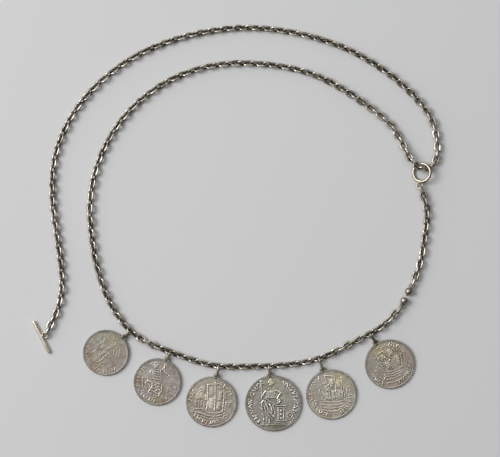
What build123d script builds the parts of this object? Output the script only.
from build123d import *
from math import asin, atan2, cos, degrees, hypot, pi, radians, sin, sqrt, tan
import os

# A coin necklace of tarnished silver, lying flat on a surface at z = 0. One long chain makes an
# outer run from a toggle bar, up and over to a slide ring, and an inner run from there to one half
# of a ball clasp. Six coins hang from the inner run. A short chain joins the slide ring to the
# other half of the clasp, which lies open. Sizes are millimetres.

os.makedirs("parts", exist_ok=True)

# Clearances
rest_gap = 0.02
solder = 0.1

# Chain links
wire = 1.05
link_length = 5.84
link_width = 4.2
link_play = 0.26

# Slide ring and its eyelet
slide_ring_width = 11.45
slide_ring_wire = 1.65
slide_ring_rise = 1.88
slide_ring_place = (102.1, 30.5)
eyelet_width = 4.3
eyelet_wire = 0.95
eyelet_angle = -100

# Toggle bar and its eye
toggle_length = 20
toggle_width = 2.1
toggle_dome = 0.85
toggle_angle = -63.2
toggle_eye_width = 4.3
toggle_eye_wire = 0.95
toggle_eye_tilt = 12.9
toggle_eye_play = 1.05

# Ball clasp
ball_width = 4.4
ball_cut = 0.45
clasp_angle = 63.4
clasp_eye_width = 3.3
clasp_eye_wire = 0.8
socket_bore = 1.8
socket_depth = 1.2
stud_width = 1.5
stud_length = 0.9
clasp_eye_play = 0.7

# Coins, their eyes and the jump rings
coin_thickness = 1.45
coin_rim_width = 0.9
coin_rim_height = 0.28
relief_height = 0.22
legend_place = 0.82
legend_height = 0.09
legend_width = 0.035
coin_eye_width = 3.4
coin_eye_wire = 0.9
coin_eye_reach = 0.65
coin_eye_height = 1.55
jump_ring_width = 3.5
jump_ring_wire = 0.78
jump_ring_floor_gap = 0.045
jump_ring_play = 0.05

# Routes of the chains, as x, y and how high the chain is lifted off the surface
OUTER_ROUTE = [
    (-104.4, -57.9, 0), (-96.4, -43.0, 0), (-95.4, -26.4, 0), (-98.0, -6.4, 0), (-101.6, 17.6, 0),
    (-100.0, 42.0, 0), (-89.1, 65.6, 0), (-71.2, 84.7, 0), (-48.3, 99.1, 0), (-22.0, 107.5, 0),
    (6.0, 111.0, 0), (34.0, 107.7, 0), (61.3, 99.3, 0), (85.2, 84.8, 0), (102.8, 68.4, 0),
    (110.9, 53.2, 0), (110.9, 42.8, 0),
]
INNER_ROUTE = [
    (110.9, 42.8, 0), (110.8, 37.7, 0), (106.5, 32.5, 0), (104.9, 32.1, 0), (100.4, 33.2, 2.4),
    (96.7, 36.2, 2.5), (94.3, 40.8, 1.6), (90.9, 47.7, 0), (85.2, 57.6, 0), (65.8, 72.4, 0),
    (42.0, 85.8, 0), (14.0, 91.0, 0), (-14.2, 90.4, 0), (-40.5, 80.3, 0), (-60.8, 63.5, 0),
    (-74.8, 41.4, 0), (-81.1, 16.6, 0), (-79.4, -8.4, 0), (-75.2, -27.6, 0), (-67.4, -46.2, 0),
    (-54.5, -60.8, 0), (-35.0, -68.7, 0), (-14.0, -76.1, 0), (6.0, -76.3, 0), (30.0, -75.4, 0),
    (48.0, -71.6, 0), (66.6, -61.6, 0), (82.4, -53.8, 0), (90.6, -43.5, 0),
]
SHORT_ROUTE = [
    (101.2, 22.4, 0.5), (106.0, 12.6, 0), (104.0, -4.4, 0), (101.2, -21.4, 0), (96.9, -31.2, 0),
]

# How far the links are turned about the chain, beyond a quarter turn each, as link and degrees
INNER_TWIST = [(0, 53), (12, 53), (24, 15), (40, -14), (58, 10), (76, -12)]
SHORT_TWIST = [(0, 45), (5, 10), (11, -10)]
first_roll = 45
coin_roll = 135
upright_roll = 90
outer_last_roll = 8
coin_twist_middle = 45

# Coins from left to right: name, diameter, place along the inner route, direction in which the
# coin hangs in degrees, length of its jump ring
COINS = [
    ("coin_1", 25.1, 339.0, -139.7, 6.40),
    ("coin_2", 25.9, 363.5, -112.8, 5.73),
    ("coin_3", 27.8, 391.3, -101.0, 6.90),
    ("coin_4", 30.8, 419.0, -83.1, 6.01),
    ("coin_5", 27.6, 447.0, -70.8, 7.74),
    ("coin_6", 27.2, 478.2, -56.6, 7.03),
]

# Reliefs of the coins, in shares of the coin's radius from its middle, as in the photo: strokes run
# from x1, y1 to x2, y2 with a width, dots have x, y and a width, plates have corners. The legends
# are plain marks round the rim, from one angle to another.
RELIEFS = {
    "coin_1": {
        "strokes": [
            (-0.43, -0.32, -0.10, -0.02, 0.13), (-0.10, -0.02, 0.20, 0.18, 0.12),
            (0.20, 0.18, 0.40, 0.35, 0.09), (-0.47, 0.04, -0.28, -0.06, 0.04),
            (-0.47, -0.08, -0.27, -0.18, 0.04), (-0.45, -0.20, -0.26, -0.30, 0.04),
            (0.34, 0.32, 0.50, 0.10, 0.05), (0.50, 0.10, 0.52, -0.22, 0.05),
            (0.48, 0.30, 0.66, 0.05, 0.05), (-0.24, -0.28, -0.14, -0.46, 0.06),
            (-0.06, -0.42, 0.16, -0.50, 0.05), (-0.10, 0.66, 0.10, 0.70, 0.04),
        ],
        "dots": [(0.12, -0.14, 0.40), (-0.74, -0.20, 0.06), (-0.64, -0.22, 0.06), (-0.55, -0.20, 0.06)],
        "plates": [],
        "legend": (190, 330, 14),
    },
    "coin_2": {
        "strokes": [
            (-0.57, 0.03, 0.19, 0.07, 0.05), (0.19, 0.07, 0.17, -0.36, 0.05),
            (0.17, -0.36, -0.16, -0.70, 0.05), (-0.16, -0.70, -0.52, -0.40, 0.05),
            (-0.52, -0.40, -0.57, 0.03, 0.05), (-0.12, -0.06, -0.30, -0.30, 0.12),
            (-0.30, -0.30, -0.14, -0.50, 0.10), (-0.30, -0.28, -0.44, -0.18, 0.06),
            (-0.08, -0.24, 0.06, -0.16, 0.06), (-0.04, -0.40, 0.08, -0.32, 0.06),
            (-0.16, 0.46, 0.14, 0.40, 0.07), (-0.15, 0.35, 0.14, 0.29, 0.07),
            (-0.14, 0.24, 0.14, 0.18, 0.07), (0.27, 0.20, 0.42, 0.38, 0.06), (0.42, 0.38, 0.46, 0.57, 0.06),
        ],
        "dots": [(-0.04, 0.66, 0.20), (0.50, 0.23, 0.07), (-0.10, -0.06, 0.13)],
        "plates": [],
        "legend": (120, 290, 22),
    },
    "coin_3": {
        "strokes": [
            (-0.15, 0.56, -0.15, -0.36, 0.04), (0.09, 0.66, 0.09, -0.36, 0.04), (0.38, 0.56, 0.38, -0.30, 0.04),
            (0.57, 0.39, 0.57, 0.09, 0.04), (-0.60, -0.66, -0.16, -0.72, 0.04), (-0.10, -0.70, 0.40, -0.66, 0.04),
            (-0.52, -0.58, 0.40, -0.58, 0.03), (-0.40, 0.60, -0.22, 0.52, 0.08),
        ],
        "dots": [(0.75, -0.05, 0.08)],
        "plates": [
            [(-0.28, 0.40), (-0.04, 0.42), (-0.06, 0.12), (-0.26, 0.12)],
            [(-0.22, 0.05), (0.02, 0.07), (0.00, -0.28), (-0.20, -0.28)],
            [(0.00, 0.50), (0.20, 0.48), (0.20, 0.18), (0.02, 0.16)],
            [(0.06, 0.10), (0.25, 0.10), (0.24, -0.24), (0.06, -0.26)],
            [(0.29, 0.44), (0.48, 0.40), (0.48, -0.20), (0.30, -0.26)],
            [(-0.60, 0.05), (-0.32, 0.02), (-0.34, -0.24), (-0.56, -0.20)],
            [(-0.72, -0.28), (-0.25, -0.41), (0.30, -0.42), (0.60, -0.28), (0.46, -0.53), (-0.52, -0.53)],
        ],
        "legend": (200, 340, 20),
    },
    "coin_4": {
        "strokes": [
            (-0.41, 0.66, -0.41, 0.12, 0.04), (-0.28, 0.12, -0.02, -0.58, 0.10), (-0.12, 0.14, 0.06, -0.50, 0.07),
            (-0.36, 0.04, -0.28, -0.56, 0.08), (-0.42, -0.02, -0.42, -0.20, 0.05), (-0.36, -0.68, -0.26, -0.66, 0.07),
            (0.00, -0.66, 0.10, -0.68, 0.07), (0.06, 0.42, 0.26, 0.32, 0.08), (0.26, 0.32, 0.24, 0.10, 0.07),
            (-0.20, 0.40, -0.40, 0.30, 0.07), (0.10, -0.11, 0.48, -0.11, 0.07), (0.17, -0.20, 0.17, -0.62, 0.05),
            (0.40, -0.20, 0.40, -0.62, 0.05), (0.10, -0.69, 0.48, -0.69, 0.05), (-0.62, -0.78, 0.62, -0.78, 0.03),
        ],
        "dots": [
            (-0.44, 0.74, 0.12), (-0.04, 0.62, 0.20), (0.28, -0.30, 0.07), (0.28, -0.43, 0.07),
            (0.28, -0.56, 0.07), (0.60, -0.45, 0.13),
        ],
        "plates": [[(-0.24, 0.46), (0.10, 0.48), (0.06, 0.16), (-0.22, 0.14)]],
        "legend": (-50, 230, 44),
    },
    "coin_5": {
        "strokes": [
            (-0.34, 0.62, -0.30, -0.26, 0.04), (0.00, 0.74, 0.02, -0.26, 0.04), (0.32, 0.62, 0.32, -0.24, 0.04),
            (-0.24, 0.72, 0.06, 0.74, 0.05), (0.48, 0.52, 0.48, 0.10, 0.03), (0.57, 0.40, 0.57, 0.04, 0.03),
            (-0.40, -0.74, 0.44, -0.74, 0.03), (-0.50, -0.22, 0.54, -0.18, 0.04),
        ],
        "dots": [],
        "plates": [
            [(-0.50, 0.50), (-0.20, 0.52), (-0.16, 0.22), (-0.46, 0.18)],
            [(-0.46, 0.12), (-0.16, 0.16), (-0.14, -0.18), (-0.44, -0.18)],
            [(-0.14, 0.62), (0.14, 0.62), (0.16, 0.32), (-0.12, 0.30)],
            [(-0.11, 0.25), (0.17, 0.25), (0.17, -0.16), (-0.10, -0.18)],
            [(0.20, 0.52), (0.42, 0.50), (0.42, 0.22), (0.22, 0.20)],
            [(0.22, 0.15), (0.43, 0.15), (0.42, -0.14), (0.22, -0.16)],
            [(-0.48, -0.27), (0.52, -0.23), (0.48, -0.38), (-0.45, -0.41)],
            [(-0.44, -0.44), (0.47, -0.41), (0.44, -0.53), (-0.41, -0.55)],
            [(-0.40, -0.58), (0.43, -0.56), (0.38, -0.68), (-0.35, -0.68)],
        ],
        "legend": (120, 330, 28),
    },
    "coin_6": {
        "strokes": [
            (-0.56, 0.28, -0.44, 0.22, 0.07), (-0.50, 0.46, -0.12, -0.20, 0.04), (-0.22, 0.66, 0.14, 0.00, 0.04),
            (0.10, 0.64, 0.36, 0.14, 0.04), (0.46, 0.56, 0.62, 0.26, 0.03), (0.60, 0.46, 0.74, 0.20, 0.03),
            (-0.40, -0.30, 0.52, 0.10, 0.05), (-0.36, -0.42, 0.54, -0.04, 0.05), (-0.30, -0.54, 0.50, -0.18, 0.05),
            (-0.20, -0.64, 0.42, -0.34, 0.05),
        ],
        "dots": [],
        "plates": [
            [(-0.52, 0.36), (-0.30, 0.50), (-0.16, 0.22), (-0.40, 0.10)],
            [(-0.36, 0.02), (-0.14, 0.14), (0.00, -0.08), (-0.24, -0.20)],
            [(-0.24, 0.58), (0.02, 0.70), (0.12, 0.42), (-0.12, 0.30)],
            [(-0.08, 0.24), (0.16, 0.36), (0.28, 0.12), (0.04, 0.00)],
            [(0.14, 0.66), (0.34, 0.68), (0.44, 0.40), (0.20, 0.36)],
        ],
        "legend": (270, 400, 16),
    },
}

# Sizes that follow
link_radius = (link_width - wire) / 2
pitch = link_length - 2 * wire - link_play
chain_thickness = wire + 2 * link_radius * sin(radians(first_roll))


def smooth_line(points):
    """One smooth line that leaves and ends on the route and touches the middle of each run."""
    corners = [Vector(*point) for point in points]
    middles = [(a + b) / 2 for a, b in zip(corners[1:-2], corners[2:-1])]
    ends = [corners[0], *middles, corners[-1]]
    with BuildLine() as line:
        for start, corner, end in zip(ends, corners[1:-1], ends[1:]):
            Bezier(start, corner, end)
    return line.wire()


def between(table, place):
    """The value at a place in a table of places and values, straight between its rows."""
    if place <= table[0][0]:
        return table[0][1]
    for (low, first), (high, second) in zip(table, table[1:]):
        if place <= high:
            return first + (second - first) * (place - low) / (high - low)
    return table[-1][1]


def twist_for(link, roll, usual):
    """The twist nearest to the usual one that turns this link to this roll, either way up."""
    return (roll - first_roll - 90 * link - usual + 90) % 180 - 90 + usual


def link_height(roll):
    """Height of a link's middle when it or its upright neighbour rests on the surface."""
    lean = max(abs(sin(radians(roll))), abs(cos(radians(roll))))
    return wire / 2 + link_radius * lean + rest_gap


def link_plane(start, end, roll):
    """The plane of the link between two points of the chain's line, its long way along x."""
    along = (end - start).normalized()
    side = Vector(0, 0, 1).cross(along).normalized()
    up = along.cross(side)
    across = side * cos(radians(roll)) + up * sin(radians(roll))
    middle = (start + end) / 2 + Vector(0, 0, link_height(roll))
    return Plane(origin=middle, x_dir=along, z_dir=along.cross(across))


def link_planes(points, twist, last_roll=None):
    """The planes of all links along a route."""
    line = smooth_line(points)
    count = round(line.length / pitch)
    table = list(twist)
    if last_roll is not None:
        table.append((count - 1, twist_for(count - 1, last_roll, 0)))
    joints = [
        line.position_at(line.length * k / count, position_mode=PositionMode.LENGTH)
        for k in range(count + 1)
    ]
    return [
        link_plane(joints[k], joints[k + 1], first_roll + 90 * k + between(table, k))
        for k in range(count)
    ]


def oval_ring(length, width, thickness):
    """A closed oval of round wire, flat on the XY plane with its long way along x."""
    radius = (width - thickness) / 2
    straight = length - width
    with BuildPart() as ring:
        with BuildSketch(Plane.YZ):
            with Locations((radius, 0), (-radius, 0)):
                Circle(thickness / 2)
        extrude(amount=straight / 2, both=True)
        with BuildSketch(Plane.YZ.offset(straight / 2)):
            with Locations((radius, 0)):
                Circle(thickness / 2)
        revolve(axis=Axis((straight / 2, 0, 0), (0, 0, 1)), revolution_arc=-180)
        mirror(about=Plane.YZ)
    return ring.part


def make_chain(name, planes, link):
    """Loose interlocking links, all in one node."""
    with BuildPart() as chain:
        with Locations(*planes):
            add(link)
    chain.part.label = name
    return chain.part


def tube_corner_radii(points):
    """As large an arc at each corner as its two runs allow."""
    corners = [Vector(*point) for point in points]
    radii = []
    for before, corner, after in zip(corners, corners[1:], corners[2:]):
        turn = radians((corner - before).get_angle(after - corner))
        shorter = min((corner - before).length, (after - corner).length)
        radii.append(0.45 * shorter / tan(turn / 2))
    return radii


def moved_towards(start, end, distance):
    """A point on the way from one point to another."""
    return start + (end - start).normalized() * distance


def make_outer_chain(link):
    """The outer run as a tube, with the real links at both of its ends."""
    axis = Vector(0, 0, chain_thickness / 2 + rest_gap)
    corners = [Vector(*point) + axis for point in OUTER_ROUTE]
    link_space = pitch + (link_length - pitch) / 2 + link_play
    corners[0] = moved_towards(corners[0], corners[1], link_space)
    corners[-1] = moved_towards(corners[-1], corners[-2], link_space)
    radii = tube_corner_radii(corners)
    print("outer run, smallest and largest radius", round(min(radii), 1), round(max(radii), 1))
    with BuildPart() as chain:
        with BuildLine() as path:
            FilletPolyline(*corners, radius=radii)
        with BuildSketch(Plane(origin=corners[0], z_dir=corners[1] - corners[0])):
            Circle(chain_thickness / 2)
        sweep()
        section = pi * chain_thickness ** 2 / 4
        expected = section * path.wires()[0].length
        print("outer run, volume", round(chain.part.volume, 1), "against", round(expected, 1))
        start, corner = [Vector(*point) for point in OUTER_ROUTE[:2]]
        before, end = [Vector(*point) for point in OUTER_ROUTE[-2:]]
        with Locations(
            link_plane(start, moved_towards(start, corner, pitch), upright_roll),
            link_plane(moved_towards(end, before, pitch), end, outer_last_roll),
        ):
            add(link)
    chain.part.label = "chain_outer"
    return chain.part


def make_slide_ring():
    """The ring that the long chain runs through, leaning on it, with its soldered eyelet."""
    middle = (slide_ring_width - slide_ring_wire) / 2
    eyelet_middle = (eyelet_width - eyelet_wire) / 2
    lean = asin(slide_ring_rise / middle)
    height = slide_ring_wire / 2 + slide_ring_rise + rest_gap
    plane = Plane(
        origin=(*slide_ring_place, height),
        x_dir=(cos(lean), 0, sin(lean)),
        z_dir=(-sin(lean), 0, cos(lean)),
    )
    eyelet_distance = middle + slide_ring_wire / 2 + eyelet_middle - solder
    with BuildPart(plane) as ring:
        Torus(middle, slide_ring_wire / 2)
        with PolarLocations(eyelet_distance, 1, start_angle=eyelet_angle):
            Torus(eyelet_middle, eyelet_wire / 2)
    ring.part.label = "slide_ring"
    return ring.part


def make_toggle_bar():
    """The bar with domed ends and the eye soldered to its side, rolled so that the eye is raised."""
    eye_middle = (toggle_eye_width - toggle_eye_wire) / 2
    eye_distance = toggle_width / 2 + eye_middle - solder
    turn = radians(toggle_angle)
    tilt = radians(toggle_eye_tilt)
    along = Vector(cos(turn), sin(turn), 0)
    beside = Vector(-sin(turn), cos(turn), 0) * cos(tilt) + Vector(0, 0, sin(tilt))
    end, before = Vector(*OUTER_ROUTE[0]), Vector(*OUTER_ROUTE[1])
    place = end + (end - before).normalized() * toggle_eye_play - beside * eye_distance
    height = toggle_width / 2 + rest_gap
    plane = Plane(origin=(place.X, place.Y, height), x_dir=along, z_dir=along.cross(beside))
    with BuildPart(plane) as bar:
        Cylinder(toggle_width / 2, toggle_length, rotation=(0, 90, 0))
        fillet(bar.edges().filter_by(GeomType.CIRCLE), toggle_dome)
        with Locations((0, eye_distance)):
            Torus(eye_middle, toggle_eye_wire / 2)
    bar.part.label = "toggle_bar"
    return bar.part


def make_clasp_half(name, points, angle, has_bore):
    """One ball of the clasp, cut flat towards its mate, with the eye that the chain ends in."""
    end, before = Vector(*points[0]), Vector(*points[1])
    arriving = (end - before).normalized()
    eye_middle = (clasp_eye_width - clasp_eye_wire) / 2
    turn = radians(angle)
    along = Vector(cos(turn), sin(turn), 0)
    eye_place = end + arriving * clasp_eye_play
    ball_place = eye_place + along * (ball_width / 2 + eye_middle - solder)
    eye_plane = Plane(origin=(eye_place.X, eye_place.Y, link_height(upright_roll)), x_dir=along)
    ball_plane = Plane(origin=(ball_place.X, ball_place.Y, ball_width / 2 + rest_gap), x_dir=along)
    face = ball_width / 2 - ball_cut
    with BuildPart() as half:
        with BuildSketch(ball_plane):
            Circle(ball_width / 2)
            with Locations((face, 0)):
                Rectangle(ball_width, 2 * ball_width, align=(Align.MIN, Align.CENTER), mode=Mode.SUBTRACT)
            if has_bore:
                with Locations((face, 0)):
                    Rectangle(
                        socket_depth, socket_bore, align=(Align.MAX, Align.CENTER), mode=Mode.SUBTRACT
                    )
            else:
                with Locations((face, 0)):
                    Rectangle(2 * stud_length, stud_width)
            Rectangle(2 * ball_width, ball_width, align=(Align.CENTER, Align.MAX), mode=Mode.SUBTRACT)
        revolve(axis=Axis(ball_plane.origin, along))
        with Locations(eye_plane):
            Torus(eye_middle, clasp_eye_wire / 2)
    half.part.label = name
    return half.part


def coin_axes(slope, hang):
    """Directions along a sloping coin, away from its eye, and out of its face."""
    level = Vector(cos(radians(hang)), sin(radians(hang)), 0)
    up = Vector(0, 0, 1)
    return level * cos(slope) - up * sin(slope), up * cos(slope) + level * sin(slope)


def hang_coin(link, diameter, hang, ring_length):
    """Planes of a jump ring, of the coin's eye and of the coin, worked out from the link."""
    ring_radius = (jump_ring_width - jump_ring_wire) / 2
    eye_middle = (coin_eye_width - coin_eye_wire) / 2
    level = Vector(cos(radians(hang)), sin(radians(hang)), 0)
    upper_side = link.y_dir if link.y_dir.Z > 0 else -link.y_dir
    # Set along the link so that the ring passes its opening midway between the neighbouring links
    passage = ring_radius * cos(radians(first_roll))
    near = link.origin + upper_side * link_radius + link.x_dir * level.dot(link.x_dir) * passage
    drop = near.Z - (jump_ring_wire / 2 + ring_radius + jump_ring_floor_gap)
    far = near + level * sqrt((ring_length - jump_ring_width) ** 2 - drop ** 2) - Vector(0, 0, drop)
    along = (far - near).normalized()
    ring_plane = Plane(
        origin=(near + far) / 2, x_dir=along, z_dir=Vector(0, 0, 1).cross(level)
    )
    bar = far + level * jump_ring_play
    bar = Vector(bar.X, bar.Y, coin_eye_height)
    reach = coin_eye_reach + eye_middle
    slope = asin((coin_eye_height - rest_gap - coin_thickness / 2) / (reach + diameter))
    down, out = coin_axes(slope, hang)
    across = Vector(0, 1, 0).cross(out)
    eye_plane = Plane(origin=bar + down * eye_middle, x_dir=across, z_dir=out)
    coin_plane = Plane(origin=bar + down * (reach + diameter / 2), x_dir=across, z_dir=out)
    return ring_plane, eye_plane, coin_plane


def relief_outlines(relief, radius):
    """Draws a coin's raised forms in the sketch that is open."""
    for x1, y1, x2, y2, width in relief["strokes"]:
        with Locations(((x1 + x2) / 2 * radius, (y1 + y2) / 2 * radius)):
            length = hypot(x2 - x1, y2 - y1) * radius
            SlotCenterToCenter(length, width * radius, rotation=degrees(atan2(y2 - y1, x2 - x1)))
    for x, y, width in relief["dots"]:
        with Locations((x * radius, y * radius)):
            Circle(width * radius / 2)
    for corners in relief["plates"]:
        Polygon(*[(x * radius, y * radius) for x, y in corners], align=None)
    first, last, count = relief["legend"]
    for k in range(count):
        angle = first + (last - first) * k / (count - 1)
        with PolarLocations(legend_place * radius, 1, start_angle=angle):
            Rectangle(legend_height * radius, legend_width * radius)


def make_coin(name, diameter, coin_plane, eye_plane):
    """A coin with its raised rim and relief, and the eye soldered to its edge."""
    radius = diameter / 2
    eye_middle = (coin_eye_width - coin_eye_wire) / 2
    field = coin_thickness / 2 - coin_rim_height
    with BuildPart() as coin:
        with BuildSketch(coin_plane.offset(-coin_thickness / 2)):
            Circle(radius)
        extrude(amount=coin_thickness / 2 + field)
        with BuildSketch(coin_plane.offset(field)):
            Circle(radius)
            Circle(radius - coin_rim_width, mode=Mode.SUBTRACT)
        extrude(amount=coin_rim_height)
        with BuildSketch(coin_plane.offset(field)):
            relief_outlines(RELIEFS[name], radius)
        extrude(amount=relief_height)
        with Locations(eye_plane):
            Torus(eye_middle, coin_eye_wire / 2)
    coin.part.label = name
    return coin.part


def make_jump_ring(name, length, plane):
    """The oval ring between a link and a coin's eye, standing on edge."""
    with BuildPart() as ring:
        with Locations(plane):
            add(oval_ring(length, jump_ring_width, jump_ring_wire))
    ring.part.label = name
    return ring.part


def coin_link(place):
    """The number of the link at a place along the inner route."""
    return int(place / pitch)


link = oval_ring(link_length, link_width, wire)
coin_twist = []
for _, _, place, _, _ in COINS:
    number = coin_link(place)
    for step in (-0.5, 0.5):
        coin_twist.append((number + step, twist_for(number, coin_roll, coin_twist_middle)))
inner_planes = link_planes(INNER_ROUTE, INNER_TWIST + coin_twist, upright_roll)
short_planes = link_planes(SHORT_ROUTE, SHORT_TWIST, upright_roll)

pieces = [
    make_outer_chain(link),
    make_chain("chain_inner", inner_planes, link),
    make_chain("chain_short", short_planes, link),
    make_slide_ring(),
    make_toggle_bar(),
    make_clasp_half("clasp_socket", INNER_ROUTE[:-3:-1], clasp_angle, True),
    make_clasp_half("clasp_stud", SHORT_ROUTE[:-3:-1], clasp_angle + 180, False),
]
for name, diameter, place, hang, ring_length in COINS:
    holder = inner_planes[coin_link(place)]
    ring_plane, eye_plane, coin_plane = hang_coin(holder, diameter, hang, ring_length)
    pieces.append(make_coin(name, diameter, coin_plane, eye_plane))
    pieces.append(make_jump_ring(name.replace("coin", "jump_ring"), ring_length, ring_plane))

for piece in pieces:
    export_step(piece, f"parts/{piece.label}.step")
